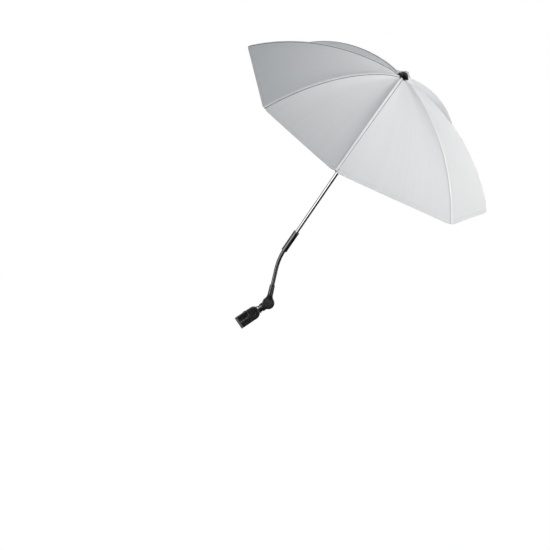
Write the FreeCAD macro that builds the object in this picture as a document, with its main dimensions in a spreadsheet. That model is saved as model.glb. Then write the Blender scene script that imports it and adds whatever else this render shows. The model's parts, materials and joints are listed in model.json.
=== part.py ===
"""Pram parasol: a tube clamp, a push-button knuckle, a bendable neck and a folding canopy.

The origin is the middle of the clamped tube. X runs to the right, Y away from the viewer, Z up.
"""
import FreeCAD, Part
import math
import os
import re
from types import SimpleNamespace

Vector = FreeCAD.Vector
Rotation = FreeCAD.Rotation
Placement = FreeCAD.Placement

# Driving sizes in millimetres and degrees, one group for each part of the object.
CLAMP = {
    "clamp_rake_angle": 34.0, "tube_radius": 10.0, "clamp_width": 32.0, "clamp_left": 26.0,
    "clamp_chamfer": 5.0,
    "clamp_round_centre": 20.0, "clamp_end": 35.0, "cradle_wall": 9.0, "cradle_edge": 3.0,
    "pad_thickness": 2.5, "bridge_start": 15.0, "jaw_wall": 7.0, "jaw_room": 7.0, "far_wall": 9.5,
    "clamp_fillet": 2.0, "face_recess_length": 29.0, "face_recess_width": 12.0,
    "face_recess_depth": 3.0, "face_recess_draft": 2.0, "face_recess_start": 20.0, "face_recess_rise": 4.5,
    "insert_radius": 6.0, "insert_flange_radius": 7.5, "insert_flange": 1.2,
    "clamp_screw_radius": 3.9, "clamp_screw_socket": 4.0, "knob_radius": 17.0,
    "knob_thickness": 13.0, "knob_gap": 9.0, "knob_scallop_radius": 6.0, "knob_scallop_in": 2.6,
    "knob_fillet": 2.0, "knob_wall": 3.0,
    "swivel_screw_place": 19.0, "swivel_screw_head_radius": 5.8, "swivel_screw_head": 1.6,
    "swivel_screw_radius": 2.5, "swivel_screw_tip_radius": 1.4, "screw_slot": 1.2,
}
KNUCKLE = {
    "eye_reach": 65.0, "eye_radius": 15.5, "half_gap": 0.15, "front_half": 9.35, "rear_half": 8.85,
    "eye_fillet": 2.2, "stem_radius": 5.0, "stem_start": 16.0, "stem_groove_radius": 3.6,
    "stem_groove_width": 3.4, "lug_collar_radius": 8.5, "lug_collar_end": 48.0,
    "lug_arm_width": 20.5, "washer_radius": 10.5, "washer_thickness": 2.4,
    "pocket_radius": 9.3, "pocket_depth": 7.2, "web_start": 2.4, "web": 1.5,
    "bolt_radius": 3.0, "bolt_head_radius": 5.5, "bolt_head": 2.5, "bolt_front": 6.4,
    "nut_radius": 5.2, "nut_thickness": 2.2, "ring_inner_radius": 4.0, "ring_front": 2.2,
    "ring_rear": 3.0, "button_radius": 10.5, "button_proud": 2.0, "button_plate": 2.0,
    "button_skirt": 2.4, "button_wall": 2.3, "button_fillet": 1.0, "button_leg_radius": 1.2,
    "button_leg_circle": 6.8, "spring_wire": 0.8, "spring_inner_radius": 3.6,
}
WAND = {
    "foot_lean_angle": 13.0, "foot_height": 47.0, "foot_neck_start": 16.2, "foot_neck_radius": 7.0,
    "foot_top_radius": 6.5, "foot_waist_width": 13.6, "foot_flare_radius": 20.0, "foot_socket": 12.0,
    "neck_radius": 4.8, "neck_straight": 40.5, "neck_azimuth_angle": -54.67, "neck_bend_angle": 34.38,
    "neck_bend_radius": 91.2, "sleeve_radius": 7.2, "sleeve_length": 60.0,
    "sleeve_collar_radius": 7.5, "sleeve_collar": 3.0, "sleeve_seat": 20.0,
    "sleeve_pin_place": 40.0, "sleeve_pin_radius": 1.5, "shaft_radius": 4.2, "shaft_wall": 0.8,
    "catch_length": 12.0, "catch_width": 2.4, "catch_proud": 2.6, "catch_inside": 1.0,
}
CANOPY = {
    "canopy_turn_angle": -41.17, "wide_gore_angle": 53.2, "canopy_radius": 340.0,
    "pivot_height": 532.5, "pivot_radius": 12.0, "rib_drop": 146.0, "rib_turn_angle": 43.6, "rib_wire": 1.25,
    "rib_eye_radius": 2.2, "pin_radius": 0.9, "tip_radius": 1.9, "tip_length": 9.0,
    "tip_setback": 3.0, "stretcher_wire": 1.25, "fork_cheek": 1.0, "fork_reach": 17.0,
    "fork_yoke": 4.0, "stretcher_end_radius": 1.6,
    "crown_radius": 14.5, "crown_over": 2.4, "crown_under": 7.0, "crown_ring_wire": 0.8,
    "crown_sleeve_radius": 7.5, "crown_sleeve": 12.0,
    "runner_flange_radius": 14.5, "runner_flange": 9.0, "runner_sleeve_radius": 7.0,
    "runner_sleeve": 40.0, "runner_grip_radius": 8.4, "runner_grip": 8.0,
    "runner_ring_circle": 8.6, "runner_ring_wire": 0.6,
    "cloth": 0.8, "cloth_hole": 5.5, "corner_width": 14.0,
    "brim_radius": 13.5, "brim_thickness": 1.6, "finial_radius": 10.5, "finial_height": 9.5,
    "finial_socket": 4.0,
}
FITS = {"running_gap": 0.1, "press_gap": 0.05, "soft_gap": 0.3, "overrun": 1.0}
SIZES = {**CLAMP, **KNUCKLE, **WAND, **CANOPY, **FITS}

# Counts, and shares of the sizes that they follow.
RIBS = 8
KNOB_SCALLOPS = 6
BUTTON_LEGS = 3
CLOTH_STATIONS = 9
STRETCHER_SHARE = 0.45
QUARTER = 90.0
FULL_TURN = 360.0

size = SimpleNamespace(**SIZES)
doc = FreeCAD.newDocument("pram_parasol")
sheet = doc.addObject("Spreadsheet::Sheet", "Sizes")
for row, (alias, number) in enumerate(SIZES.items(), start=1):
    sheet.set(f"A{row}", alias)
    sheet.set(f"B{row}", str(number))
    sheet.setAlias(f"B{row}", alias)
doc.recompute()

AXIS_X = Vector(1, 0, 0)
AXIS_Y = Vector(0, 1, 0)
AXIS_Z = Vector(0, 0, 1)
UPRIGHT = Rotation()
ALONG_X = Rotation(AXIS_Y, QUARTER)
ALONG_Y = Rotation(AXIS_X, -QUARTER)
ORIGIN = ("0", "0", "0")
subparts = []


def bound(text):
    """The expression with the name of each size pointed at its cell."""
    return re.sub(r"[a-z_]+", lambda word: f"Sizes.{word[0]}" if word[0] in SIZES else word[0], text)


def shaped(kind, frame, **sizes):
    """A primitive in a given frame, whose sizes are expressions in the sheet's names."""
    made = doc.addObject(f"Part::{kind}", "Solid")
    made.Placement = frame
    for name, text in sizes.items():
        made.setExpression(name, bound(text))
    return made


def solid(kind, at=ORIGIN, turn=UPRIGHT, **sizes):
    """A primitive whose place is an expression too."""
    made = shaped(kind, Placement(Vector(), turn), **sizes)
    for axis, text in zip("xyz", at):
        made.setExpression(f"Placement.Base.{axis}", bound(text))
    return made


def disc(radius, start, end, along, x="0", y="0", z="0"):
    """A cylinder along x, y or z, from start to end on that axis; the other two place its centre."""
    places = {"x": x, "y": y, "z": z, along: start}
    turn = {"x": ALONG_X, "y": ALONG_Y, "z": UPRIGHT}[along]
    return solid("Cylinder", tuple(places.values()), turn, Radius=radius, Height=f"{end} - ({start})")


def block(x, y, z):
    """A box between pairs of limits."""
    return solid("Box", (x[0], y[0], z[0]), Length=f"{x[1]} - ({x[0]})",
                 Width=f"{y[1]} - ({y[0]})", Height=f"{z[1]} - ({z[0]})")


def half(text):
    """Limits that lie the same way on both sides of zero."""
    return f"-({text}) / 2", f"({text}) / 2"


def join(*solids):
    made = doc.addObject("Part::MultiFuse", "Join")
    made.Shapes = list(solids)
    made.Refine = True
    return made


def cut(base, *tools):
    made = doc.addObject("Part::Cut", "Cut")
    made.Base = base
    made.Tool = tools[0] if len(tools) == 1 else join(*tools)
    return made


def common(base, tool):
    made = doc.addObject("Part::Common", "Common")
    made.Base = base
    made.Tool = tool
    return made


def eased(kind, base, reach, picked):
    """The base with a fillet or a chamfer on each edge that the test picks."""
    doc.recompute()
    made = doc.addObject(f"Part::{kind}", "Eased")
    made.Base = base
    edges = enumerate(base.Shape.Edges, start=1)
    made.Edges = [(number, reach, reach) for number, edge in edges if picked(edge)]
    return made


def rounded(base, radius, picked):
    return eased("Fillet", base, radius, picked)


def lies_at(axis, place):
    """A test for edges that lie whole in a plane square to an axis."""
    low, high = f"{axis}Min", f"{axis}Max"

    def picked(edge):
        box = edge.BoundBox
        return max(abs(getattr(box, low) - place), abs(getattr(box, high) - place)) < size.press_gap

    return picked


def subpart(label, made, frame):
    """Names a finished piece and puts it in its frame."""
    doc.recompute()
    local = made.Placement
    for axis in "xyz":
        made.setExpression(f"Placement.Base.{axis}", None)
    made.Placement = frame.multiply(local)
    made.Label = label
    subparts.append(made)


# Frames: the clamp, the knuckle's front half, the neck's bend, the wand and the ribs.
bend = math.radians(size.neck_bend_angle)
in_clamp = Placement(Vector(), Rotation(AXIS_Y, -size.clamp_rake_angle))
eye_centre = in_clamp.multVec(Vector(size.eye_reach, 0, 0))
in_foot = Placement(eye_centre, Rotation(AXIS_Y, size.foot_lean_angle))
bend_start = Vector(0, 0, size.foot_height + size.neck_straight)
in_neck = in_foot.multiply(Placement(bend_start, Rotation(AXIS_Z, size.neck_azimuth_angle)))
bend_end = Vector(1 - math.cos(bend), 0, math.sin(bend)) * size.neck_bend_radius
in_wand = in_neck.multiply(Placement(bend_end, Rotation(AXIS_Y, size.neck_bend_angle)))
in_canopy = in_wand.multiply(Placement(Vector(), Rotation(AXIS_Z, size.canopy_turn_angle)))
narrow_gore = QUARTER - size.wide_gore_angle
GORES = [size.wide_gore_angle if number % 2 == 0 else narrow_gore for number in range(RIBS)]
BEARINGS = [sum(GORES[:number]) for number in range(RIBS)]

# The rib's arc in its own plane: x outwards from the hinge, z up the shaft.
rib_reach = size.canopy_radius - size.tip_setback - size.pivot_radius
rib_chord = math.hypot(rib_reach, size.rib_drop)
half_turn = math.radians(size.rib_turn_angle) / 2
rib_radius = rib_chord / (2 * math.sin(half_turn))
rib_slope = math.atan2(size.rib_drop, rib_reach) - half_turn
arc_centre = Vector(-math.sin(rib_slope), 0, -math.cos(rib_slope)) * rib_radius
cloth_lift = (size.tip_radius + size.soft_gap) / math.cos(rib_slope + 2 * half_turn)


def on_arc(angle):
    """A point of the rib's centre line, at an angle along its turn."""
    slope = rib_slope + angle
    return arc_centre + Vector(math.sin(slope), 0, math.cos(slope)) * rib_radius


def along_arc(angle):
    """The turn that lays x along the rib at an angle along its turn."""
    return Rotation(AXIS_Y, math.degrees(rib_slope + angle))


joint_angle = 2 * half_turn * STRETCHER_SHARE
rib_joint = on_arc(joint_angle)
stretcher_length = rib_joint.Length
stretcher_slope = math.atan2(-rib_joint.z, rib_joint.x)
runner_height = size.pivot_height - 2 * stretcher_length * math.sin(stretcher_slope)
runner_bottom = runner_height - size.runner_flange / 2 - size.runner_sleeve


def rib_frame(number):
    turned = in_canopy.multiply(Placement(Vector(), Rotation(AXIS_Z, BEARINGS[number])))
    return turned.multiply(Placement(Vector(size.pivot_radius, 0, size.pivot_height), UPRIGHT))


# Places that several pieces of the clamp share.
SEAT = "tube_radius + pad_thickness"
NEAR = f"-({SEAT} + cradle_wall)"
JAW_BACK = f"{SEAT} + jaw_wall"
FAR_INNER = f"{JAW_BACK} + jaw_room"
FAR_OUTER = f"{FAR_INNER} + far_wall"
COLLAR_START = "clamp_end + washer_thickness + 2 * half_gap"
FULL_WIDTH = half("clamp_width")
PAST_WIDTH = half("clamp_width + 2 * overrun")


def make_clamp_frame():
    """The C-shaped frame: near cradle, bridge with the stem's bore, and far wall."""
    body = join(block(("-clamp_left", "clamp_round_centre"), (NEAR, FAR_OUTER), FULL_WIDTH),
                disc("clamp_width / 2", NEAR, FAR_OUTER, "y", x="clamp_round_centre"))
    throat = block(("-clamp_left - overrun", "bridge_start"), ("-cradle_edge", FAR_INNER), PAST_WIDTH)
    end = block(("clamp_end", "clamp_end + clamp_width"), (f"{NEAR} - overrun", f"{FAR_OUTER} + overrun"),
                PAST_WIDTH)
    opened = cut(body, throat, end)
    at_near = lies_at("Y", -(size.tube_radius + size.pad_thickness + size.cradle_wall))
    at_left = lies_at("X", -size.clamp_left)
    sloped = eased("Chamfer", opened, size.clamp_chamfer, lambda edge: at_near(edge) and at_left(edge))
    soft = rounded(sloped, size.clamp_fillet, at_near)
    side, draft = "face_recess_width / 2", "face_recess_draft"
    recess = solid("Wedge", ("-face_recess_start", NEAR, "face_recess_rise"),
                   Xmin="0", Xmax="face_recess_length", Ymin="0", Ymax="face_recess_depth",
                   Zmin=f"-{side}", Zmax=side, X2min=draft, X2max=f"face_recess_length - {draft}",
                   Z2min=f"{draft} - {side}", Z2max=f"{side} - {draft}")
    screw_seat = join(
        disc("swivel_screw_head_radius + press_gap", f"{NEAR} - overrun", f"{NEAR} + swivel_screw_head",
             "y", x="swivel_screw_place"),
        disc("swivel_screw_radius + press_gap", NEAR, "0", "y", x="swivel_screw_place"))
    return cut(soft, recess, screw_seat,
               disc(SEAT, *PAST_WIDTH, "z"),
               disc("stem_radius + running_gap", "stem_start - press_gap", "clamp_end + overrun", "x"),
               disc("insert_radius + press_gap", f"{FAR_INNER} - overrun", f"{FAR_OUTER} + overrun", "y"))


def make_pad(side):
    """A lining between the tube and its cradle; side is -1 for the near one and 1 for the jaw's."""
    ring = cut(disc(SEAT, *FULL_WIDTH, "z"), disc("tube_radius", *PAST_WIDTH, "z"))
    near = (f"-({SEAT}) - overrun", "-cradle_edge")
    far = ("cradle_edge", f"{SEAT} + overrun")
    return common(ring, block(half(f"2 * ({SEAT}) + overrun"), near if side < 0 else far, PAST_WIDTH))


def make_jaw():
    body = block(("-clamp_left", "bridge_start - soft_gap"), ("cradle_edge", JAW_BACK), FULL_WIDTH)
    socket = disc("clamp_screw_radius + running_gap", f"{JAW_BACK} - clamp_screw_socket",
                  f"{JAW_BACK} + overrun", "y")
    return cut(body, disc(SEAT, *PAST_WIDTH, "z"), socket)


def make_insert():
    body = join(disc("insert_radius", FAR_INNER, FAR_OUTER, "y"),
                disc("insert_flange_radius", FAR_OUTER, f"{FAR_OUTER} + insert_flange", "y"))
    bore = disc("clamp_screw_radius + running_gap", f"{FAR_INNER} - overrun",
                f"{FAR_OUTER} + insert_flange + overrun", "y")
    return cut(body, bore)


def make_clamp_screw():
    tip = f"{JAW_BACK} - clamp_screw_socket + running_gap"
    return disc("clamp_screw_radius", tip, f"{FAR_OUTER} + knob_gap + knob_thickness - knob_wall", "y")


def make_knob():
    """A scalloped hand knob, blind at its outer end."""
    start, end = f"{FAR_OUTER} + knob_gap", f"{FAR_OUTER} + knob_gap + knob_thickness"
    scallops = []
    for number in range(KNOB_SCALLOPS):
        angle = f"{number} * 360deg / {KNOB_SCALLOPS}"
        reach = "(knob_radius + knob_scallop_radius - knob_scallop_in)"
        scallops.append(disc("knob_scallop_radius", f"{start} - overrun", f"{end} + overrun", "y",
                             x=f"{reach} * cos({angle})", z=f"{reach} * sin({angle})"))
    lobed = cut(disc("knob_radius", start, end, "y"), *scallops)
    doc.recompute()
    soft = rounded(lobed, size.knob_fillet, lies_at("Y", lobed.Shape.BoundBox.YMax))
    bore = disc("clamp_screw_radius + press_gap", f"{start} - overrun", f"{end} - knob_wall + press_gap",
                "y")
    return cut(soft, bore)


def make_swivel_screw():
    """A slotted pan-head screw whose tip runs in the stem's groove."""
    place = "swivel_screw_place"
    head = cut(disc("swivel_screw_head_radius", NEAR, f"{NEAR} + swivel_screw_head", "y", x=place),
               block((f"{place} - swivel_screw_head_radius", f"{place} + swivel_screw_head_radius"),
                     (f"{NEAR} - overrun", f"{NEAR} + swivel_screw_head / 2"), half("screw_slot")))
    thread = disc("swivel_screw_radius", f"{NEAR} + swivel_screw_head", "-stem_radius - soft_gap", "y",
                  x=place)
    tip = disc("swivel_screw_tip_radius", "-stem_radius - soft_gap", "-stem_groove_radius - running_gap",
               "y", x=place)
    return join(head, thread, tip)


def make_lug():
    """The rear half of the knuckle, on the stem that turns in the clamp."""
    groove = ("swivel_screw_place - stem_groove_width / 2", "swivel_screw_place + stem_groove_width / 2")
    rear = ("half_gap", "half_gap + rear_half")
    body = join(disc("stem_radius", "stem_start", groove[0], "x"),
                disc("stem_groove_radius", *groove, "x"),
                disc("stem_radius", groove[1], COLLAR_START, "x"),
                disc("lug_collar_radius", COLLAR_START, "lug_collar_end", "x"),
                block(("lug_collar_end - lug_collar_radius / 2", "eye_reach"), rear, half("lug_arm_width")),
                disc("eye_radius", *rear, "y", x="eye_reach"))
    soft = rounded(body, size.eye_fillet, lies_at("Y", size.half_gap + size.rear_half))
    return cut(soft,
               disc("pocket_radius", "half_gap - overrun", "half_gap + pocket_depth", "y", x="eye_reach"),
               disc("bolt_radius + press_gap", "0", "half_gap + rear_half + overrun", "y", x="eye_reach"))


def make_washer():
    face = "clamp_end + half_gap"
    return cut(disc("washer_radius", face, f"{face} + washer_thickness", "x"),
               disc("stem_radius + press_gap", "clamp_end", f"{COLLAR_START} + overrun", "x"))


def make_bolt():
    rear = "half_gap + rear_half"
    head = rounded(disc("bolt_head_radius", rear, f"{rear} + bolt_head", "y"), size.bolt_head / 2,
                   lies_at("Y", size.half_gap + size.rear_half + size.bolt_head))
    return join(disc("bolt_radius", "-bolt_front", rear, "y"), head)


def make_nut():
    start = "-(half_gap + web_start + web) - running_gap - nut_thickness"
    body = solid("Prism", ("0", start, "0"), ALONG_Y, Circumradius="nut_radius", Height="nut_thickness")
    return cut(body, disc("bolt_radius + press_gap", f"{start} - overrun", "0", "y"))


def make_spring():
    """A conical spring between the pocket's floor and the locking ring."""
    start, end = "ring_rear + press_gap", "half_gap + pocket_depth - press_gap"
    wide, slim = "pocket_radius - soft_gap", "spring_inner_radius + spring_wire"
    outer = solid("Cone", ("0", start, "0"), ALONG_Y, Radius1=wide, Radius2=slim,
                  Height=f"{end} - ({start})")
    inner = solid("Cone", ("0", start, "0"), ALONG_Y, Radius1=f"{wide} - spring_wire",
                  Radius2=f"{slim} - spring_wire", Height=f"{end} - ({start})")
    return cut(outer, inner)


def around_button(radius, start, end):
    """One disc for each leg of the button."""
    angles = [f"{number} * 360deg / {BUTTON_LEGS}" for number in range(BUTTON_LEGS)]
    return [disc(radius, start, end, "y", x=f"button_leg_circle * sin({angle})",
                 z=f"button_leg_circle * cos({angle})") for angle in angles]


def make_button():
    """A domed cap with a skirt, and legs that reach the locking ring through the web."""
    front = "-(half_gap + front_half + button_proud)"
    back = f"{front} + button_plate"
    plate = rounded(disc("button_radius", front, back, "y"), size.button_fillet,
                    lies_at("Y", -(size.half_gap + size.front_half + size.button_proud)))
    skirt = cut(disc("button_radius", back, f"{back} + button_skirt", "y"),
                disc("button_radius - button_wall", back, f"{back} + button_skirt + overrun", "y"))
    return join(plate, skirt, *around_button("button_leg_radius", back, "-ring_front - press_gap"))


def make_lock_ring():
    return cut(disc("pocket_radius - soft_gap", "-ring_front", "ring_rear", "y"),
               disc("ring_inner_radius", "-ring_front - overrun", "ring_rear + overrun", "y"))


def make_foot():
    """The front half of the knuckle, drawn up into the socket of the neck."""
    front, back = "-(half_gap + front_half)", "-half_gap"
    flare_x, flare_reach = "(foot_waist_width / 2 + foot_flare_radius)", "(eye_radius + foot_flare_radius)"
    flare_z = f"sqrt({flare_reach}^2 - {flare_x}^2)"
    flares = [disc("foot_flare_radius", f"{front} - overrun", f"{back} + overrun", "y", x=side, z=flare_z)
              for side in (flare_x, f"-{flare_x}")]
    shoulders = half(f"2 * eye_radius * {flare_x} / {flare_reach}")
    plate = join(disc("eye_radius", front, back, "y"),
                 cut(block(shoulders, (front, back), ("0", flare_z)), *flares))
    soft = rounded(plate, size.eye_fillet, lies_at("Y", -(size.half_gap + size.front_half)))
    neck = solid("Cone", ("0", "0", "foot_neck_start"), Radius1="foot_neck_radius",
                 Radius2="foot_top_radius", Height="foot_height - foot_neck_start")
    web_front, web_back = "-(half_gap + web_start + web)", "-(half_gap + web_start)"
    return cut(join(soft, neck),
               disc("button_radius + soft_gap", f"{front} - overrun", web_front, "y"),
               disc("pocket_radius", web_back, "overrun", "y"),
               disc("bolt_radius + running_gap", f"{web_front} - overrun", "0", "y"),
               disc("neck_radius + press_gap", "foot_height - foot_socket", "foot_height + overrun", "z"),
               *around_button("button_leg_radius + soft_gap", f"{web_front} - overrun", "0"))


def make_sleeve():
    top = "sleeve_length - sleeve_collar"
    body = join(disc("sleeve_radius", "0", "sleeve_length", "z"),
                disc("sleeve_collar_radius", "0", "sleeve_collar", "z"),
                disc("sleeve_collar_radius", top, "sleeve_length", "z"))
    return cut(body,
               disc("shaft_radius + press_gap", "sleeve_seat", "sleeve_length + overrun", "z"),
               disc("sleeve_pin_radius + press_gap", *half("2 * sleeve_collar_radius"), "y",
                    z="sleeve_pin_place"))


def make_shaft():
    """The chromed tube, slotted for the catch and drilled for the sleeve's pin."""
    top = f"{brim_height} + brim_thickness + finial_socket"
    tube = cut(disc("shaft_radius", "sleeve_seat", top, "z"),
               disc("shaft_radius - shaft_wall", "sleeve_seat - overrun", f"{top} + overrun", "z"))
    slot = block(("0", "shaft_radius + overrun"), half("catch_width + 2 * running_gap"),
                 (f"{catch_bottom} - soft_gap", f"{catch_bottom} + catch_length + soft_gap"))
    return cut(tube, slot, disc("sleeve_pin_radius + press_gap", *half("2 * sleeve_radius"), "y",
                                z="sleeve_pin_place"))


def make_catch():
    """A ramp that stands out of the shaft just under the open runner."""
    inner = "shaft_radius - shaft_wall - catch_inside"
    return solid("Wedge", ("0", "catch_width / 2", f"{catch_bottom}"), Rotation(AXIS_X, QUARTER),
                 Xmin=inner, Xmax="shaft_radius", X2min=inner, X2max="shaft_radius + catch_proud",
                 Ymin="0", Ymax="catch_length", Zmin="0", Zmax="catch_width", Z2min="0",
                 Z2max="catch_width")


def spokes(width, inner, outer, low, high):
    """One radial bar for each rib."""
    bars = []
    for bearing in BEARINGS:
        bar = block((inner, outer), half(width), (low, high))
        turned = doc.addObject("Part::Compound", "Spoke")
        turned.Links = [bar]
        turned.Placement = Placement(Vector(), Rotation(AXIS_Z, bearing))
        bars.append(turned)
    return bars


def make_crown():
    """The slotted hub on top of the shaft, with a groove for the ring that the ribs hinge on."""
    low, high = "pivot_height - crown_under", "pivot_height + crown_over"
    body = join(disc("crown_radius", low, high, "z"),
                disc("crown_sleeve_radius", f"{low} - crown_sleeve", low, "z"))
    groove = solid("Torus", ("0", "0", "pivot_height"), Radius1="pivot_radius",
                   Radius2="crown_ring_wire + press_gap")
    bore = disc("shaft_radius + press_gap", f"{low} - crown_sleeve - overrun", f"{high} + overrun", "z")
    slots = spokes("2 * (rib_wire + soft_gap)", "pivot_radius - rib_eye_radius - soft_gap",
                   "crown_radius + overrun", f"{low} - overrun", f"{high} + overrun")
    return cut(cut(body, bore, *slots), groove)


def make_runner():
    """The slider, with a slotted flange for the stretchers and a flared grip."""
    low, high = f"{runner_height} - runner_flange / 2", f"{runner_height} + runner_flange / 2"
    bottom = f"{low} - runner_sleeve"
    body = join(disc("runner_flange_radius", low, high, "z"),
                disc("runner_sleeve_radius", bottom, low, "z"),
                disc("runner_grip_radius", bottom, f"{bottom} + runner_grip", "z"))
    groove = solid("Torus", ("0", "0", f"{runner_height}"), Radius1="runner_ring_circle",
                   Radius2="runner_ring_wire + press_gap")
    bore = disc("shaft_radius + running_gap", f"{bottom} - overrun", f"{high} + overrun", "z")
    slots = spokes("2 * (stretcher_wire + soft_gap)", "runner_ring_circle",
                   "runner_flange_radius + overrun", f"{low} - overrun", f"{high} + overrun")
    return cut(cut(body, bore, *slots), groove)


def make_rib():
    """A curved wire with an eye at the crown and a boss for the stretcher's rivet."""
    start = on_arc(0) - arc_centre
    arc_frame = Placement(arc_centre, Rotation(start, Vector(), AXIS_Y, "ZXY"))
    wire = shaped("Torus", arc_frame, Radius1=f"{rib_radius}", Radius2="rib_wire", Angle3="rib_turn_angle")
    width = half("2 * (rib_wire + running_gap)")
    joint = {"x": f"{rib_joint.x}", "z": f"{rib_joint.z}"}
    past = half("2 * (rib_wire + overrun)")
    return cut(join(wire, disc("rib_eye_radius", *width, "y"), disc("rib_eye_radius", *width, "y", **joint)),
               disc("crown_ring_wire + 2 * running_gap", *past, "y"),
               disc("pin_radius + running_gap", *past, "y", **joint))


def make_tip():
    """A blunt cap on the rib's end, made along x from the wire's end."""
    body = join(disc("tip_radius", "-tip_length", "tip_radius", "x"),
                solid("Sphere", ("tip_radius", "0", "0"), Radius="tip_radius"))
    return cut(body, disc("rib_wire + running_gap", "-tip_length - overrun", "press_gap", "x"))


def make_stretcher():
    """A straight wire with a riveted fork at the rib and a round end at the runner."""
    cheek_inner = "rib_wire + 2 * running_gap"
    cheek_outer = f"{cheek_inner} + fork_cheek"
    fork_end = "fork_reach + fork_yoke"
    cheeks = []
    for limits in ((cheek_inner, cheek_outer), (f"-({cheek_outer})", f"-({cheek_inner})")):
        cheeks.append(block(("0", fork_end), limits, half("2 * stretcher_end_radius")))
        cheeks.append(disc("rib_eye_radius", *limits, "y"))
    across = half(f"2 * ({cheek_outer})")
    length = f"{stretcher_length}"
    return join(*cheeks,
                block(("fork_reach", fork_end), across, half("2 * stretcher_end_radius")),
                disc("pin_radius", *across, "y"),
                disc("stretcher_wire", "fork_reach + fork_yoke / 2", length, "x"),
                disc("stretcher_end_radius", *half("2 * (stretcher_wire + running_gap)"), "y", x=length))


def cloth_curve(places):
    curve = Part.BSplineCurve()
    curve.interpolate(places)
    return curve.toShape()


def make_panel(number):
    """The cloth of one rib, out to the middle of the gore on each side, with a blunt corner."""
    gores = (-GORES[number - 1], GORES[number])
    half_corner = size.corner_width / 2
    corner = half_corner * math.tan(math.radians(FULL_TURN / RIBS) / 2)
    reach = size.canopy_radius + corner - size.pivot_radius - arc_centre.x
    end_angle = math.asin(reach / rib_radius) - rib_slope
    inset = size.pivot_radius - size.cloth_hole
    stations = [Vector(-inset, 0, inset * math.tan(rib_slope))]
    stations += [on_arc(end_angle * share / (CLOTH_STATIONS - 1)) for share in range(CLOTH_STATIONS)]

    def edge(gore, lift):
        """The cloth's line at the rib, or at the middle of a gore, lifted off the rib."""
        middle = math.radians(gore) / 2
        places = []
        for station in stations:
            radius = (station.x + size.pivot_radius) * math.cos(middle)
            place = Vector(math.cos(middle), math.sin(middle), 0) * radius
            place -= Vector(-math.sin(middle), math.cos(middle), 0) * math.copysign(size.soft_gap / 2, gore)
            if not gore:
                place = Vector(radius, 0, 0)
            places.append(place + Vector(-size.pivot_radius, 0, station.z + lift))
        return cloth_curve(places)

    low, high = cloth_lift, cloth_lift + size.cloth
    ridge_low, ridge_high = edge(0, low), edge(0, high)
    faces = []
    for gore in gores:
        side_low, side_high = edge(gore, low), edge(gore, high)
        for first, second in ((ridge_low, side_low), (ridge_high, side_high), (side_low, side_high)):
            faces.append(Part.makeRuledSurface(first, second))
        for end in (0, -1):
            corners = [curve.Vertexes[end].Point for curve in (ridge_low, side_low, side_high, ridge_high)]
            faces.append(Part.Face(Part.makePolygon([*corners, corners[0]])))
    shell = Part.makeShell(faces)
    shell.sewShape()
    whole = Part.Solid(shell)
    if whole.Volume < 0:
        whole.reverse()
    length = 2 * size.canopy_radius
    past_corner = Vector(size.canopy_radius - size.pivot_radius, -length / 2, -length / 2)
    made = doc.addObject("Part::Feature", "Panel")
    made.Shape = whole.cut(Part.makeBox(length, length, length, past_corner))
    return made


def make_brim():
    return cut(disc("brim_radius", f"{brim_height}", f"{brim_height} + brim_thickness", "z"),
               disc("shaft_radius + press_gap", f"{brim_height} - overrun",
                    f"{brim_height} + brim_thickness + overrun", "z"))


def make_finial():
    base = f"{brim_height} + brim_thickness"
    dome = solid("Ellipsoid", ("0", "0", base), Radius1="finial_height", Radius2="finial_radius",
                 Radius3="finial_radius", Angle1="0")
    return cut(dome, disc("shaft_radius + press_gap", f"{base} - overrun",
                          f"{base} + finial_socket + press_gap", "z"))


# Heights on the shaft that follow from the cloth and the open runner.
cloth_rise = (size.pivot_radius - size.cloth_hole) * math.tan(rib_slope)
brim_height = size.pivot_height + cloth_rise + cloth_lift + size.cloth + size.soft_gap
catch_bottom = runner_bottom - size.soft_gap - size.catch_length

subpart("clamp_frame", make_clamp_frame(), in_clamp)
subpart("clamp_pad", make_pad(-1), in_clamp)
subpart("thread_insert", make_insert(), in_clamp)
subpart("swivel_screw", make_swivel_screw(), in_clamp)
subpart("clamp_jaw", make_jaw(), in_clamp)
subpart("clamp_jaw_pad", make_pad(1), in_clamp)
subpart("clamp_screw", make_clamp_screw(), in_clamp)
subpart("clamp_knob", make_knob(), in_clamp)

subpart("swivel_lug", make_lug(), in_clamp)
subpart("swivel_washer", make_washer(), in_clamp)
for label, make in (("knuckle_bolt", make_bolt), ("knuckle_nut", make_nut), ("button_spring", make_spring),
                    ("release_button", make_button), ("lock_ring", make_lock_ring),
                    ("wand_foot", make_foot)):
    subpart(label, make(), in_foot)

subpart("gooseneck_lower", disc("neck_radius", "foot_height - foot_socket", "foot_height + neck_straight",
                                "z"), in_foot)
neck_centre = Placement(AXIS_X * size.neck_bend_radius, Rotation(-AXIS_X, AXIS_Z, AXIS_Y, "ZXY"))
subpart("gooseneck_upper", shaped("Torus", neck_centre, Radius1="neck_bend_radius", Radius2="neck_radius",
                                  Angle3="neck_bend_angle"), in_neck)
subpart("wand_sleeve", make_sleeve(), in_canopy)
subpart("sleeve_pin", disc("sleeve_pin_radius", *half("2 * sleeve_radius"), "y", z="sleeve_pin_place"),
        in_canopy)
subpart("shaft", make_shaft(), in_canopy)
subpart("runner_catch", make_catch(), in_canopy)

subpart("crown", make_crown(), in_canopy)
subpart("crown_ring", solid("Torus", ("0", "0", "pivot_height"), Radius1="pivot_radius",
                            Radius2="crown_ring_wire"), in_canopy)
subpart("finial_washer", make_brim(), in_canopy)
subpart("finial_cap", make_finial(), in_canopy)
subpart("runner", make_runner(), in_canopy)
subpart("runner_ring", solid("Torus", ("0", "0", f"{runner_height}"), Radius1="runner_ring_circle",
                             Radius2="runner_ring_wire"), in_canopy)

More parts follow.
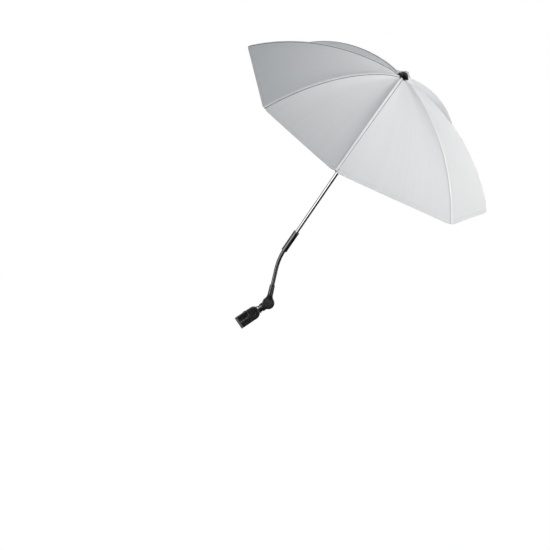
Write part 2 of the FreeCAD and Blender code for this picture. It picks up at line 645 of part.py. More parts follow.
rib_end = Placement(on_arc(2 * half_turn), along_arc(2 * half_turn))
towards_runner = Placement(rib_joint, Rotation(AXIS_Y, QUARTER * 2 - math.degrees(stretcher_slope)))
for number in range(RIBS):
    frame = rib_frame(number)
    subpart(f"rib_{number + 1}", make_rib(), frame)
    subpart(f"rib_tip_{number + 1}", make_tip(), frame.multiply(rib_end))
    subpart(f"stretcher_{number + 1}", make_stretcher(), frame.multiply(towards_runner))
    subpart(f"canopy_panel_{number + 1}", make_panel(number), frame)

doc.recompute()
failed = [made.Label for made in doc.Objects if {"Invalid", "Error"} & set(made.State)]
failed += [made.Label for made in subparts if made.Shape.isNull() or not made.Shape.isValid()]
if failed:
    raise SystemExit(f"these pieces failed: {failed}")
os.makedirs("parts", exist_ok=True)
for made in subparts:
    made.Shape.exportStep(f"parts/{made.Label}.step")
print(f"{len(subparts)} pieces, runner at {runner_height:.2f} mm, rib slope {math.degrees(rib_slope):.2f}")
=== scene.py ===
import json
import math

import bpy
from mathutils import Matrix, Vector, noise


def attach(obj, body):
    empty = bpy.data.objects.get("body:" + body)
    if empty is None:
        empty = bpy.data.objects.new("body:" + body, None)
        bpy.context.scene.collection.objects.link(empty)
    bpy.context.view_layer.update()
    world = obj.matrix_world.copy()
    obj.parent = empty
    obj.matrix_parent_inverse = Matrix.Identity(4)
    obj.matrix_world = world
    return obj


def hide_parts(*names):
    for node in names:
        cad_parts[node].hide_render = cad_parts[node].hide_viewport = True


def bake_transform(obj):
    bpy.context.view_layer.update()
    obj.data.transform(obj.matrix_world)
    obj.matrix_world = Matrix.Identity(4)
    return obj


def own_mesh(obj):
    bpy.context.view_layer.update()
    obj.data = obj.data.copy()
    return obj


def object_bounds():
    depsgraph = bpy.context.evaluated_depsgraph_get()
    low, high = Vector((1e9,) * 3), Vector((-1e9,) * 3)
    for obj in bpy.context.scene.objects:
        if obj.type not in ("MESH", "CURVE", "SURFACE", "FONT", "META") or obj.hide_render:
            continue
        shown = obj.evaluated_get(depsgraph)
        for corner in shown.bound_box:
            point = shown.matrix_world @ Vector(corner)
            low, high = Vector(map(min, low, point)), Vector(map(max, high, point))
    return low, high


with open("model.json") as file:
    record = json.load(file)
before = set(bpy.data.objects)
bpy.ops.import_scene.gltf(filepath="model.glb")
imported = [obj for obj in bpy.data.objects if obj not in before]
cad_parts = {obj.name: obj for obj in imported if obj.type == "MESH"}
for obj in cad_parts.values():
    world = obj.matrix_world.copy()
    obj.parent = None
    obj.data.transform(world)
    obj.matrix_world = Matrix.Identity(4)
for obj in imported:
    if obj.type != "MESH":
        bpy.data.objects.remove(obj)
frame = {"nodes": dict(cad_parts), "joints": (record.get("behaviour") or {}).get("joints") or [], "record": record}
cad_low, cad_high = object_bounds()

# Lengths are in metres.
# The canopy, as its ribs are bent and its cloth is cut.
RIBS = 8
PIVOT_RADIUS = 0.012
RIM_RADIUS = 0.340
RIB_DROP = 0.146
RIB_TURN = math.radians(43.6)
TIP_RADIUS = 0.0019
TIP_SETBACK = 0.003
TIP_GAP = 0.0003
CORNER_WIDTH = 0.014
CLOTH_HOLE = 0.0055
CLOTH_THICKNESS = 0.0008
PANEL_ROWS = 64
PANEL_COLUMNS = 24

# Sag between the ribs: it starts beside the seam, steeply, and is deepest between crown and rim.
SAG = 0.0085
SAG_START = 0.0040
SAG_POWER = 3.8
SAG_SKEW = 0.8
SAG_REACH = 0.93

# Faint streaks towards the crown: height, and how often each comes around and along the cloth.
STREAKS = ((0.00016, 9.0, 2.5), (0.00006, 24.0, 4.0))
STREAK_FULL = 0.25
STREAK_CLEARANCE = 0.020

# The raised seam on each rib: columns of points beside it, a pale band and a painted shadow on one side.
SEAM_OFFSETS = (0.0008, 0.0016, 0.0024, 0.0029, 0.0033, 0.0044, 0.0068)
SEAM_HEIGHT = 0.0011
SEAM_HALF_WIDTH = 0.0030
SEAM_SHOULDER = 0.85
SEAM_SLOPE = 0.3
# The seam's painted shadow: a dark line at this distance from the rib, and its width.
SEAM_SHADOW_PLACE = 0.0039
SEAM_SHADOW_WIDTH = 0.0017
SEAM_PALE = (0.88, 0.88, 0.885)
SEAM_PAINTED_SHADOW = (0.16, 0.16, 0.165)
CUT_MIDDLE = 0.25

# The hem along the rim: rows of points given by their distance from the rim.
HEM_ROWS = (0.0140, 0.0100, 0.0080, 0.0073, 0.0067, 0.0060, 0.0040, 0.0020, 0.0010, 0.0003, 0.0)
HEM_HEIGHT = 0.0003
HEM_WIDTH = 0.0070
HEM_SHOULDER = 0.95
HEM_SLOPE = 0.1
HEM_ROUND = 0.0015

# Stitches: shares of length and girth along each spindle, and where on seam and hem they lie.
STITCH_LENGTH = 0.0026
STITCH_PITCH = 0.0036
STITCH_RADIUS = 0.00022
STITCH_SIDES = 5
STITCH_PROFILE = ((0.0, 0.35), (0.25, 1.0), (0.75, 1.0), (1.0, 0.35))
STITCH_START = 0.030
STITCH_ON_SEAM = 0.72
STITCH_ON_HEM = 0.86
STITCH_LIFT = 0.4

NECK_RADIUS = 0.0048
NECK_STRAIGHT = 0.0405
NECK_SUNK = 0.010
NECK_RINGS = 72
NECK_SIDES = 40

# Surface detail: where a noise texture's values mostly lie, and the size and depth of relief.
NOISE_RANGE = (0.3, 0.7)
GRAIN_DEPTH = 0.0003
GRAINS_IN_PATCH = 25
EDGE_RADIUS = 0.0014
EDGE_SAMPLES = 4
METAL_STRENGTH = 0.05
METAL_DEPTH = 0.0001
WEAVE_SCALE = 330.0
WEAVE_STRENGTH = 0.15
WEAVE_DEPTH = 0.0001
CLOTH_STREAK_SCALE = 34.0

# Camera of the photograph: level, at this place, with this focal length and sensor in millimetres.
CAMERA_PLACE = (0.0708, -2.851, 0.1073)
CAMERA_LENS = 73.96
CAMERA_SENSOR = 36.0

# The floor lies far below, because the part is held up. It turns to plain white further out.
FLOOR_DROP = 1.10
FLOOR_SIZE = 14.0
FLOOR_FADE = (0.5, 1.3)
FLOOR_WHITE = (0.7, 1.0)

# The studio. Each dark side is a direction, and the cosines at which its shade starts and is full.
FILL_COLOUR = (0.80, 0.91, 1.0)
FILL_STRENGTH = 0.20
DARK_COLOUR = (0.03, 0.03, 0.031)
DARK_SIDES = (((0.36, -0.08, -0.93), 0.43, 0.52), ((0.10, 0.97, -0.20), 0.42, 0.64),
              ((-0.60, 0.80, 0.05), 0.55, 0.72), ((0.0, -1.0, 0.0), 0.80, 0.92))

# Lamps: name, place from the object's middle, width and height, watts, colour.
WARM = (1.0, 0.975, 0.945)
WHITE = (1.0, 1.0, 1.0)
LAMPS = (
    ("right", (1.8, -0.5, 0.3), (1.2, 1.2), 5.0, WARM),
    ("right_near", (1.12, -0.70, -0.02), (0.7, 0.7), 6.5, WARM),
    ("front_right", (1.2, -1.2, 1.0), (1.0, 1.0), 6.0, WARM),
    ("front_top", (0.2, -1.6, 1.4), (1.2, 1.2), 9.6, (1.0, 0.99, 0.98)),
    ("back", (-0.9, 1.8, 1.0), (1.6, 1.6), 42, (0.98, 0.99, 1.0)),
)
MIRRORED_LAMPS = (
    ("left_strip", (-1.5, -0.80, -0.10), (0.9, 1.6), 5.5, WHITE),
    ("top_left", (-1.0, -1.0, 1.4), (1.2, 1.2), 11, WHITE),
)

# Pieces whose finish isn't the one of their slot.
OWN_FINISHES = {
    "release_button": "button_plastic",
    "finial_cap": "finial_plastic",
    "finial_washer": "finial_plastic",
}

joints = {joint["name"]: joint for joint in frame["joints"]}
hinges = [joints["canopy_fold"]] + [joints[f"rib_{number}_fold"] for number in range(2, RIBS + 1)]
shaft_axis = Vector(joints["runner_slide"]["axis"]).normalized()
middle = (cad_low + cad_high) / 2


def node_material(name, build, **sockets):
    """A Principled material: constant sockets are set here, and the build function adds detail."""
    material = bpy.data.materials.new(name)
    material.use_nodes = True
    tree = material.node_tree
    shader = tree.nodes["Principled BSDF"]
    for socket, value in sockets.items():
        shader.inputs[socket.replace("_", " ")].default_value = value
    build(tree, shader)
    return material


def add(tree, kind, **values):
    """A shader node with its properties and sockets set by name."""
    made = tree.nodes.new(f"ShaderNode{kind}")
    for name, value in values.items():
        if name in made.bl_rna.properties:
            setattr(made, name, value)
        else:
            made.inputs[name.replace("_", " ")].default_value = value
    return made


def mapped(tree, source, low, high, start=NOISE_RANGE[0], end=NOISE_RANGE[1]):
    """A texture's value spread between two numbers."""
    made = add(tree, "MapRange", From_Min=start, From_Max=end, To_Min=low, To_Max=high)
    tree.links.new(source, made.inputs["Value"])
    return made.outputs["Result"]


def tinted(tree, source, tones):
    """A colour ramp between two tones."""
    ramp = add(tree, "ValToRGB")
    for stop, tone, position in zip(ramp.color_ramp.elements, tones, NOISE_RANGE):
        stop.color = (*tone, 1)
        stop.position = position
    tree.links.new(source, ramp.inputs["Fac"])
    return ramp.outputs["Color"]


def bumped(tree, shader, source, strength, depth, under=None):
    """Relief from a texture's value, over the plain surface or over another node's normal."""
    bump = add(tree, "Bump", Strength=strength, Distance=depth)
    tree.links.new(source, bump.inputs["Height"])
    if under:
        tree.links.new(under, bump.inputs["Normal"])
    tree.links.new(bump.outputs["Normal"], shader.inputs["Normal"])


def moulded(*tones, rough, grain, strength, soft_edges=True):
    """Moulded or coated surface: soft edges, fine grain and a slight change of tone and gloss."""

    def build(tree, shader):
        place = add(tree, "TexCoord").outputs["Object"]
        fine = add(tree, "TexNoise", Scale=grain, Detail=3.0)
        broad = add(tree, "TexNoise", Scale=grain / GRAINS_IN_PATCH, Detail=4.0)
        edges = None
        if soft_edges:
            edges = add(tree, "Bevel", samples=EDGE_SAMPLES, Radius=EDGE_RADIUS).outputs["Normal"]
        for texture in (fine, broad):
            tree.links.new(place, texture.inputs["Vector"])
        patches = broad.outputs["Fac"]
        tree.links.new(tinted(tree, patches, tones), shader.inputs["Base Color"])
        tree.links.new(mapped(tree, patches, *rough), shader.inputs["Roughness"])
        bumped(tree, shader, fine.outputs["Fac"], strength, GRAIN_DEPTH, edges)

    return build


def drawn(*tones, rough, stretch):
    """Drawn or turned metal: streaks that are long one way."""

    def build(tree, shader):
        place = add(tree, "TexCoord").outputs["Object"]
        turn = add(tree, "Mapping", Scale=stretch)
        streaks = add(tree, "TexNoise", Scale=1.0, Detail=5.0)
        tree.links.new(place, turn.inputs["Vector"])
        tree.links.new(turn.outputs["Vector"], streaks.inputs["Vector"])
        lines = streaks.outputs["Fac"]
        tree.links.new(tinted(tree, lines, tones), shader.inputs["Base Color"])
        tree.links.new(mapped(tree, lines, *rough), shader.inputs["Roughness"])
        bumped(tree, shader, lines, METAL_STRENGTH, METAL_DEPTH)

    return build


def banded(tree, across, under, colour, place, reach):
    """A colour that covers another within a reach of a line along the rib."""
    inside = add(tree, "Math", operation="COMPARE")
    inside.inputs[1].default_value = CUT_MIDDLE + place
    inside.inputs[2].default_value = reach
    tree.links.new(across, inside.inputs[0])
    mix = add(tree, "MixRGB")
    mix.inputs["Color2"].default_value = (*colour, 1)
    tree.links.new(inside.outputs["Value"], mix.inputs["Fac"])
    tree.links.new(under, mix.inputs["Color1"])
    return mix.outputs["Color"]


def woven(*tones, rough, seamed=False):
    """Coated cloth: a fine weave, faint streaks from crown to rim, and outside a seam and painted shadow on each
    rib.
    """

    def build(tree, shader):
        around = add(tree, "UVMap", uv_map="around").outputs["UV"]
        cut = add(tree, "UVMap", uv_map="cut").outputs["UV"]
        streaks = add(tree, "TexNoise", noise_dimensions="2D", Scale=CLOTH_STREAK_SCALE, Detail=3.0)
        tree.links.new(around, streaks.inputs["Vector"])
        weave = add(tree, "Math", operation="ADD")
        for number, direction in enumerate(("X", "Y")):
            threads = add(tree, "TexWave", bands_direction=direction,
                          Scale=WEAVE_SCALE, Distortion=0.6)
            tree.links.new(cut, threads.inputs["Vector"])
            tree.links.new(threads.outputs["Fac"], weave.inputs[number])
        lines = streaks.outputs["Fac"]
        colour = tinted(tree, lines, tones)
        if seamed:
            split = add(tree, "SeparateXYZ")
            tree.links.new(cut, split.inputs["Vector"])
            across = split.outputs["X"]
            colour = banded(tree, across, colour, SEAM_PALE, 0.0, SEAM_HALF_WIDTH)
            # Painted shadow: a dark line beside the raised seam, on one side of every rib.
            colour = banded(tree, across, colour, SEAM_PAINTED_SHADOW, SEAM_SHADOW_PLACE, SEAM_SHADOW_WIDTH / 2)
        tree.links.new(colour, shader.inputs["Base Color"])
        tree.links.new(mapped(tree, lines, *rough), shader.inputs["Roughness"])
        bumped(tree, shader, weave.outputs["Value"], WEAVE_STRENGTH, WEAVE_DEPTH)

    return build


# Every finish: its detail, with two tones and a range of roughness, and its constant sockets.
finishes = {
    "black_plastic": (
        moulded((0.009, 0.009, 0.010), (0.013, 0.013, 0.014),
                rough=(0.24, 0.36), grain=2600, strength=0.02),
        {"Specular_IOR_Level": 1.0, "IOR": 1.6}),
    "gloss_black": (
        moulded((0.004, 0.004, 0.005), (0.007, 0.007, 0.008),
                rough=(0.12, 0.18), grain=1800, strength=0.02),
        {"Specular_IOR_Level": 1.0, "IOR": 1.8}),
    "finial_plastic": (
        moulded((0.004, 0.004, 0.005), (0.007, 0.007, 0.008),
                rough=(0.12, 0.18), grain=1800, strength=0.02),
        {"Specular_IOR_Level": 0.3, "IOR": 1.5}),
    "button_plastic": (
        moulded((0.044, 0.048, 0.054), (0.056, 0.061, 0.069),
                rough=(0.26, 0.38), grain=2200, strength=0.05),
        {}),
    "neck_grey": (
        moulded((0.012, 0.012, 0.013), (0.018, 0.018, 0.019),
                rough=(0.30, 0.40), grain=3000, strength=0.04,
                soft_edges=False),
        {"Specular_IOR_Level": 1.0, "IOR": 1.75}),
    "chrome": (
        drawn((0.62, 0.62, 0.64), (0.72, 0.72, 0.74),
              rough=(0.02, 0.05), stretch=(400.0, 400.0, 12.0)),
        {"Metallic": 1.0}),
    "steel": (
        drawn((0.30, 0.30, 0.31), (0.42, 0.42, 0.43),
              rough=(0.22, 0.36), stretch=(300.0, 300.0, 300.0)),
        {"Metallic": 1.0}),
    "black_steel": (
        drawn((0.020, 0.020, 0.022), (0.034, 0.034, 0.036),
              rough=(0.26, 0.38), stretch=(300.0, 300.0, 300.0)),
        {}),
    "brass": (
        drawn((0.66, 0.47, 0.19), (0.78, 0.60, 0.28),
              rough=(0.22, 0.36), stretch=(300.0, 60.0, 300.0)),
        {"Metallic": 1.0}),
    "rubber": (
        moulded((0.014, 0.014, 0.015), (0.024, 0.024, 0.025),
                rough=(0.62, 0.78), grain=1500, strength=0.25),
        {}),
    "rib_metal": (
        drawn((0.42, 0.43, 0.45), (0.55, 0.56, 0.58),
              rough=(0.30, 0.42), stretch=(250.0, 250.0, 250.0)),
        {"Metallic": 0.8}),
    "tip_plastic": (
        moulded((0.50, 0.50, 0.52), (0.60, 0.60, 0.62),
                rough=(0.35, 0.48), grain=2000, strength=0.05),
        {}),
    "canopy_cloth": (
        woven((0.73, 0.735, 0.745), (0.75, 0.755, 0.765), rough=(0.42, 0.50), seamed=True),
        {"Specular_IOR_Level": 0.35}),
    "cloth_inside": (
        woven((0.50, 0.51, 0.53), (0.54, 0.55, 0.57), rough=(0.55, 0.70)),
        {"Specular_IOR_Level": 0.2}),
    "thread": (
        moulded((0.64, 0.65, 0.67), (0.70, 0.71, 0.73),
                rough=(0.55, 0.70), grain=9000, strength=0.3),
        {}),
}
materials = {name: node_material(name, build, **sockets)
             for name, (build, sockets) in finishes.items()}


def paint_frame():
    """Each piece of the frame takes the finish of its slot, or its own."""
    slots = {entry["node"]: entry["material_slot"] for entry in frame["record"]["subparts"]}
    for name, piece in frame["nodes"].items():
        piece.data.materials.clear()
        piece.data.materials.append(materials[OWN_FINISHES.get(name, slots[name])])


def add_piece(name, points, faces, *surfaces):
    """A mesh object with smooth faces."""
    mesh = bpy.data.meshes.new(name)
    mesh.from_pydata(points, [], faces)
    mesh.polygons.foreach_set("use_smooth", [True] * len(faces))
    for surface in surfaces:
        mesh.materials.append(surface)
    piece = bpy.data.objects.new(name, mesh)
    bpy.context.scene.collection.objects.link(piece)
    return piece


def smooth_step(value):
    """From 0 to 1 with a soft start and end."""
    share = min(1.0, max(0.0, value))
    return share * share * (3 - 2 * share)


def looped(items):
    """Each item with the next one, and the last with the first."""
    return zip(items, items[1:] + items[:1])


# The rib's arc in its own plane, from the crown's hinge outwards.
rib_reach = RIM_RADIUS - TIP_SETBACK - PIVOT_RADIUS
arc_radius = math.hypot(rib_reach, RIB_DROP) / (2 * math.sin(RIB_TURN / 2))
arc_slope = math.atan2(RIB_DROP, rib_reach) - RIB_TURN / 2
apex_radius = RIM_RADIUS + CORNER_WIDTH / 2 * math.tan(math.pi / RIBS)
cloth_lift = (TIP_RADIUS + TIP_GAP) / math.cos(arc_slope + RIB_TURN) + CLOTH_THICKNESS / 2


def rib_profile(radius):
    """Height over the hinge and slope of the rib's line at a radius from the shaft."""
    out = radius - PIVOT_RADIUS
    if out < 0:
        return -out * math.tan(arc_slope), arc_slope
    slope = math.asin(math.sin(arc_slope) + out / arc_radius)
    return arc_radius * (math.cos(slope) - math.cos(arc_slope)), slope


class Cloth:
    """The cloth of one rib, out to the middle of the gore on either side."""

    def __init__(self, number):
        hinge = hinges[number - 1]
        tangent = Vector(hinge["axis"]).normalized()
        outward = tangent.cross(shaft_axis)
        self.name = f"canopy_panel_{number}"
        self.body = f"rib_{number}"
        self.tip = f"rib_tip_{number}"
        self.tangent = tangent
        self.hinge = Vector(hinge["pos_m"])
        self.matrix = Matrix((outward, tangent, shaft_axis)).transposed()
        self.centre = self.hinge - outward * PIVOT_RADIUS
        self.half_gores = {}
        for side, neighbour in ((-1, number - 2), (1, number % RIBS)):
            other = Vector(hinges[neighbour]["axis"]).normalized()
            self.half_gores[side] = tangent.angle(other) / 2

    def half_width(self, side, radius):
        """Distance from the rib to the gore's middle."""
        half_gore = self.half_gores[side]
        return radius * math.cos(half_gore) * math.sin(half_gore)

    def squeeze(self, side, radius):
        """Share of its full width that the seam has, which is less near the crown."""
        return min(1.0, self.half_width(side, radius) / (2 * SEAM_OFFSETS[-1]))

    def offset(self, side, column, radius):
        """Distance from the rib along the gore's straight line, for a numbered column."""
        width = self.half_width(side, radius)
        squeeze = self.squeeze(side, radius)
        if column <= len(SEAM_OFFSETS):
            return SEAM_OFFSETS[column - 1] * squeeze if column else 0.0
        share = (column - len(SEAM_OFFSETS)) / PANEL_COLUMNS
        seam = SEAM_OFFSETS[-1] * squeeze
        return seam + (width - seam) * share

    def rim(self, side, across):
        """Radius at which the cloth ends, at a distance from the rib."""
        return min(apex_radius, RIM_RADIUS + across * math.tan(self.half_gores[side]))

    def relief(self, side, radius, across, to_rim, direction):
        """How far the cloth stands off its smooth form."""
        squeeze = self.squeeze(side, radius)
        along = radius / RIM_RADIUS
        start = SAG_START * squeeze
        share = max(0.0, across - start) / (self.half_width(side, radius) - start)
        depth = SAG * math.sin(math.pi * along ** SAG_SKEW * SAG_REACH)
        sag = depth * (1 - max(0.0, 1 - share) ** SAG_POWER)
        streaks = 0.0
        for height, frequency, stretch in STREAKS:
            place = direction * frequency + shaft_axis * radius * stretch
            streaks += height * noise.noise(place)
        streaks *= smooth_step(along / STREAK_FULL) * smooth_step(across / STREAK_CLEARANCE)
        seam_share = across / squeeze / SEAM_HALF_WIDTH
        seam = SEAM_HEIGHT * squeeze * (1 - smooth_step((seam_share - SEAM_SHOULDER) / SEAM_SLOPE))
        hem = HEM_HEIGHT * (1 - smooth_step((to_rim / HEM_WIDTH - HEM_SHOULDER) / HEM_SLOPE))
        return streaks - sag + max(seam, hem * smooth_step(to_rim / HEM_ROUND))

    def place(self, side, radius, across, lift, to_rim=1.0):
        """A point of the cloth: radius on the rib, distance from it and lift off the middle layer."""
        half_gore = self.half_gores[side]
        height, slope = rib_profile(radius)
        local = Vector((radius - across * math.tan(half_gore), side * across, 0))
        direction = (self.matrix @ local).normalized()
        gore_slope = math.tan(slope) / math.cos(half_gore) if across else math.tan(slope)
        bearing = side * half_gore if across else 0.0
        lean_out, lean_aside = math.cos(bearing) * gore_slope, math.sin(bearing) * gore_slope
        normal = Vector((lean_out, lean_aside, 1)).normalized()
        lift += self.relief(side, radius, across, to_rim, direction)
        point = local + Vector((0, 0, height + cloth_lift)) + normal * lift
        return self.centre + self.matrix @ point

    def grid(self, lift):
        """Rows of points from crown to rim, each from one gore's middle to that of the next."""
        last = len(SEAM_OFFSETS) + PANEL_COLUMNS
        columns = [(-1, column) for column in range(last, 0, -1)]
        columns += [(1, column) for column in range(last + 1)]
        rows = []
        for row in range(PANEL_ROWS + len(HEM_ROWS)):
            points = []
            for side, column in columns:
                rim = self.rim(side, self.offset(side, column, apex_radius))
                start = rim - HEM_ROWS[0]
                if row < PANEL_ROWS:
                    radius = CLOTH_HOLE + (start - CLOTH_HOLE) * row / PANEL_ROWS
                else:
                    radius = rim - HEM_ROWS[row - PANEL_ROWS]
                across = self.offset(side, column, radius)
                points.append(self.place(side, radius, across, lift, rim - radius))
            rows.append(points)
        return rows


def sheet_faces(rows, columns):
    """Faces of a closed sheet of two layers, the layer of each, and the points around its edge."""
    below = rows * columns
    faces, layers = [], []
    for row in range(rows - 1):
        for column in range(columns - 1):
            first = row * columns + column
            face = (first, first + columns, first + columns + 1, first + 1)
            faces.append(face)
            faces.append(tuple(index + below for index in reversed(face)))
            layers += [0, 1]
    edge = list(range(columns))
    edge += [row * columns + columns - 1 for row in range(1, rows)]
    edge += [(rows - 1) * columns + column for column in range(columns - 2, -1, -1)]
    edge += [row * columns for row in range(rows - 2, 0, -1)]
    for first, second in looped(edge):
        faces.append((first, second, second + below, first + below))
        layers.append(0)
    return faces, layers, edge


def sharpen(mesh, edge, below):
    """Hard shading along the edge of both layers."""
    edge_of = {tuple(sorted(entry.vertices)): entry for entry in mesh.edges}
    for first, second in looped(edge):
        for shift in (0, below):
            edge_of[tuple(sorted((first + shift, second + shift)))].use_edge_sharp = True


def cloth_lengths(rows):
    """Distances over the cloth for each point: across from the rib, and along from the crown."""
    rib = len(rows[0]) // 2
    lengths = []
    along = 0.0
    for number, row in enumerate(rows):
        if number:
            along += (row[rib] - rows[number - 1][rib]).length
        across = [0.0] * len(row)
        for column in range(rib + 1, len(row)):
            across[column] = across[column - 1] + (row[column] - row[column - 1]).length
        for column in range(rib - 1, -1, -1):
            across[column] = across[column + 1] - (row[column] - row[column + 1]).length
        lengths += [(CUT_MIDDLE + value, along) for value in across]
    return lengths


def cloth_bearings(cloth, rows):
    """Cosine and sine of each point's bearing around the shaft, counted from the first rib."""
    tangent = Vector(hinges[0]["axis"]).normalized()
    outward = tangent.cross(shaft_axis)
    bearings = []
    for row in rows:
        for point in row:
            level = point - cloth.centre
            level = (level - shaft_axis * level.dot(shaft_axis)).normalized()
            bearings.append((level.dot(outward), level.dot(tangent)))
    return bearings


def settle(piece, cloth):
    """Cloth moves with its rib."""
    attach(piece, cloth.body)
    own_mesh(piece)


def make_panel(cloth):
    """A closed sheet: outer layer, inner layer and the edge between them."""
    outer, inner = cloth.grid(CLOTH_THICKNESS / 2), cloth.grid(-CLOTH_THICKNESS / 2)
    points = [point for layer in (outer, inner) for row in layer for point in row]
    below = len(points) // 2
    faces, layers, edge = sheet_faces(len(outer), len(outer[0]))
    surfaces = materials["canopy_cloth"], materials["cloth_inside"]
    piece = add_piece(cloth.name + "_cloth", points, faces, *surfaces)
    mesh = piece.data
    mesh.polygons.foreach_set("material_index", layers)
    sharpen(mesh, edge, below)
    lengths = cloth_lengths(outer)
    for name, values in (("cut", lengths), ("around", cloth_bearings(cloth, outer))):
        layer = mesh.uv_layers.new(name=name)
        for loop in mesh.loops:
            layer.data[loop.index].uv = values[loop.vertex_index % below]
    both_sides = zip(mesh.polygons, layers[:-len(edge)])
    area = sum(polygon.area for polygon, layer in both_sides if not layer)
    settle(piece, cloth)
    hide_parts(cloth.name)


def add_rings(faces, first, rings, sides):
    """Faces of a closed tube whose rings of points follow one another from a first point."""
    for ring in range(rings - 1):
        base = first + ring * sides
        for number in range(sides):
            near, far = base + number, base + (number + 1) % sides
            faces.append((near, far, far + sides, near + sides))
    faces.append(tuple(first + number for number in reversed(range(sides))))
    faces.append(tuple(first + (rings - 1) * sides + number for number in range(sides)))


def add_stitch(points, faces, start, end):
    """A short spindle of thread between two points."""
    along = (end - start).normalized()
    side = along.cross(shaft_axis).normalized()
    up = side.cross(along)
    first = len(points)
    for share, girth in STITCH_PROFILE:
        centre = start.lerp(end, share)
        for number in range(STITCH_SIDES):
            angle = math.tau * number / STITCH_SIDES
            outward = side * math.cos(angle) + up * math.sin(angle)
            points.append(centre + outward * STITCH_RADIUS * girth)
    add_rings(faces, first, len(STITCH_PROFILE), STITCH_SIDES)


def make_stitches(cloth):
    """Two lines of stitches along the rib's seam and one along the hem."""
    points, faces = [], []
    seam_across = SEAM_HALF_WIDTH * STITCH_ON_SEAM
    hem_inset = HEM_WIDTH * STITCH_ON_HEM
    lift = CLOTH_THICKNESS / 2 + STITCH_RADIUS * STITCH_LIFT
    for side in (-1, 1):
        radius = STITCH_START
        while radius < RIM_RADIUS - 2 * HEM_WIDTH:
            step = STITCH_LENGTH * math.cos(rib_profile(radius)[1])
            ends = [cloth.place(side, radius + share * step, seam_across, lift) for share in (0, 1)]
            add_stitch(points, faces, *ends)
            radius += step * STITCH_PITCH / STITCH_LENGTH
        across = STITCH_PITCH
        width = cloth.half_width(side, apex_radius)
        while across < width - STITCH_LENGTH / 2:
            ends = []
            for reach in (across, across + STITCH_LENGTH):
                radius = cloth.rim(side, reach) - hem_inset
                ends.append(cloth.place(side, radius, reach, lift, hem_inset))
            add_stitch(points, faces, *ends)
            across += STITCH_PITCH
    piece = add_piece(cloth.name + "_stitches", points, faces, materials["thread"])
    settle(piece, cloth)


def make_tube(name, line):
    """A closed tube of the neck along points, each given with two directions square to the line."""
    points, faces = [], []
    for centre, across, beside in line:
        for number in range(NECK_SIDES):
            angle = math.tau * number / NECK_SIDES
            outward = across * math.cos(angle) + beside * math.sin(angle)
            points.append(centre + outward * NECK_RADIUS)
    add_rings(faces, 0, len(line), NECK_SIDES)
    return add_piece(name, points, faces, materials["neck_grey"])


def make_neck():
    """The bendable neck: a straight half out of the foot and a curved half into the sleeve."""
    eye = Vector(joints["knuckle_tilt"]["pos_m"])
    low_middle = Vector(joints["neck_bend"]["pos_m"])
    high_middle = Vector(joints["neck_sway"]["pos_m"])
    up = (low_middle - eye).normalized()
    bend = up.angle(shaft_axis)
    towards = (shaft_axis - up * up.dot(shaft_axis)).normalized()
    beside = up.cross(towards)
    foot_top = low_middle - up * NECK_STRAIGHT / 2
    bend_start = low_middle + up * NECK_STRAIGHT / 2
    bend_radius = (high_middle - bend_start).length / (2 * math.sin(bend / 4))
    straight, curved = [], []
    for ring in range(NECK_RINGS + 1):
        reach = -NECK_SUNK + (NECK_STRAIGHT + NECK_SUNK) * ring / NECK_RINGS
        straight.append((foot_top + up * reach, towards, beside))
        angle = bend * ring / NECK_RINGS
        centre = bend_start + (towards * (1 - math.cos(angle)) + up * math.sin(angle)) * bend_radius
        curved.append((centre, towards * math.cos(angle) - up * math.sin(angle), beside))
    for name, line, start, bodies in (("gooseneck_lower", straight, foot_top, ("foot", "neck")),
                                      ("gooseneck_upper", curved, bend_start, ("neck", "wand"))):
        piece = make_tube(name + "_cover", line)
        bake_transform(piece)
        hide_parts(name)


def link_all(tree, *pairs):
    """Links from outputs to inputs."""
    for source, target in pairs:
        tree.links.new(source, target)


def either(tree, first, second):
    """The larger of two values."""
    larger = add(tree, "Math", operation="MAXIMUM")
    link_all(tree, (first, larger.inputs[0]), (second, larger.inputs[1]))
    return larger.outputs["Value"]


def both(tree, first, second):
    """The product of two values."""
    product = add(tree, "Math", operation="MULTIPLY")
    link_all(tree, (first, product.inputs[0]), (second, product.inputs[1]))
    return product.outputs["Value"]


def mixed(tree, share, first, second):
    """Two shaders mixed by a share of the second."""
    mix = add(tree, "MixShader")
    link_all(tree, (share, mix.inputs["Fac"]), (first, mix.inputs[1]), (second, mix.inputs[2]))
    return mix.outputs["Shader"]


def make_floor():
    """A pale floor far under the object, with its shadow near the middle and white further out."""

    def build(tree, shader):
        rays = add(tree, "LightPath").outputs
        distance = add(tree, "VectorMath", operation="LENGTH")
        tree.links.new(add(tree, "TexCoord").outputs["Object"], distance.inputs["Vector"])
        fade = mapped(tree, distance.outputs["Value"], *FLOOR_WHITE, *FLOOR_FADE)
        seen = either(tree, rays["Is Camera Ray"], rays["Is Glossy Ray"])
        glow = add(tree, "Emission", Strength=1.0).outputs["Emission"]
        surface = mixed(tree, both(tree, seen, fade), shader.outputs["BSDF"], glow)
        tree.links.new(surface, tree.nodes["Material Output"].inputs["Surface"])

    pale = node_material("pale_floor", build, Base_Color=(0.9, 0.9, 0.9, 1), Roughness=0.9)
    reach = FLOOR_SIZE / 2
    corners = [(-reach, -reach, 0), (reach, -reach, 0), (reach, reach, 0), (-reach, reach, 0)]
    floor = add_piece("floor", corners, [(0, 1, 2, 3)], pale)
    floor.location = (middle.x, middle.y, cad_low.z - FLOOR_DROP)
    floor.visible_glossy = False


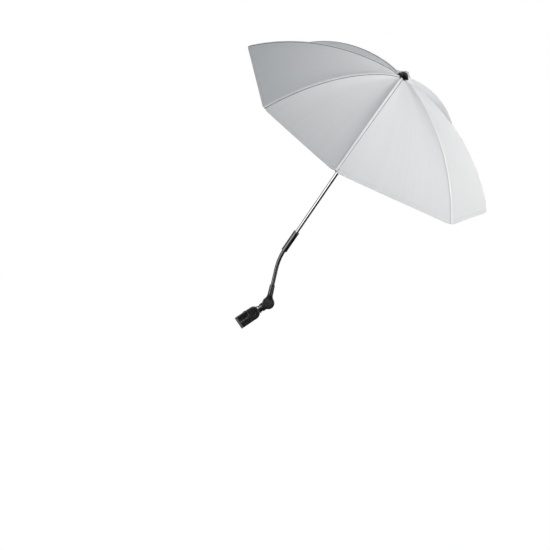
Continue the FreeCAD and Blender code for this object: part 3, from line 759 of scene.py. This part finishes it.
def make_world():
    """White to the eye, white with a few dark sides in reflections, and else a cool fill."""
    world = bpy.data.worlds.new("studio")
    world.use_nodes = True
    bpy.context.scene.world = world
    tree = world.node_tree
    fill = tree.nodes["Background"]
    fill.inputs["Color"].default_value = (*FILL_COLOUR, 1)
    fill.inputs["Strength"].default_value = FILL_STRENGTH
    white = add(tree, "Background", Color=(1, 1, 1, 1), Strength=1.0)
    dark = add(tree, "Background", Color=(*DARK_COLOUR, 1), Strength=1.0)
    rays = add(tree, "LightPath").outputs
    towards = add(tree, "TexCoord").outputs["Generated"]
    shade = None
    for direction, start, end in DARK_SIDES:
        facing = add(tree, "VectorMath", operation="DOT_PRODUCT")
        facing.inputs[1].default_value = direction
        tree.links.new(towards, facing.inputs[0])
        side = mapped(tree, facing.outputs["Value"], 0.0, 1.0, start, end)
        shade = either(tree, shade, side) if shade else side
    shaded = both(tree, rays["Is Glossy Ray"], shade)
    shown = mixed(tree, shaded, white.outputs["Background"], dark.outputs["Background"])
    seen = either(tree, rays["Is Camera Ray"], rays["Is Glossy Ray"])
    clear = either(tree, seen, rays["Is Transmission Ray"])
    whole = mixed(tree, clear, fill.outputs["Background"], shown)
    tree.links.new(whole, tree.nodes["World Output"].inputs["Surface"])


def make_light(name, offset, size, power, colour, mirrored):
    """A soft lamp that faces the object's middle. A mirrored one only shows in glossy surfaces."""
    place = middle + Vector(offset)
    lamp = bpy.data.lights.new(name, "AREA")
    lamp.shape = "RECTANGLE"
    lamp.size, lamp.size_y = size
    lamp.energy = power
    lamp.color = colour
    holder = bpy.data.objects.new(name, lamp)
    holder.location = place
    holder.visible_camera = False
    holder.visible_glossy = mirrored
    holder.visible_diffuse = not mirrored
    holder.rotation_mode = "QUATERNION"
    holder.rotation_quaternion = (middle - place).to_track_quat("-Z", "Y")
    bpy.context.scene.collection.objects.link(holder)


def make_camera():
    """Level and square to the part's front, as the photograph was taken."""
    lens = bpy.data.cameras.new("camera")
    lens.lens = CAMERA_LENS
    lens.sensor_width = CAMERA_SENSOR
    holder = bpy.data.objects.new("camera", lens)
    holder.location = CAMERA_PLACE
    holder.rotation_euler = (math.pi / 2, 0, 0)
    bpy.context.scene.collection.objects.link(holder)
    bpy.context.scene.camera = holder


paint_frame()
for rib_number in range(1, RIBS + 1):
    rib_cloth = Cloth(rib_number)
    make_panel(rib_cloth)
    make_stitches(rib_cloth)
make_neck()
make_camera()
make_floor()
make_world()
for entry in LAMPS:
    make_light(*entry, mirrored=False)
for entry in MIRRORED_LAMPS:
    make_light(*entry, mirrored=True)
bpy.context.scene.view_settings.view_transform = "Standard"
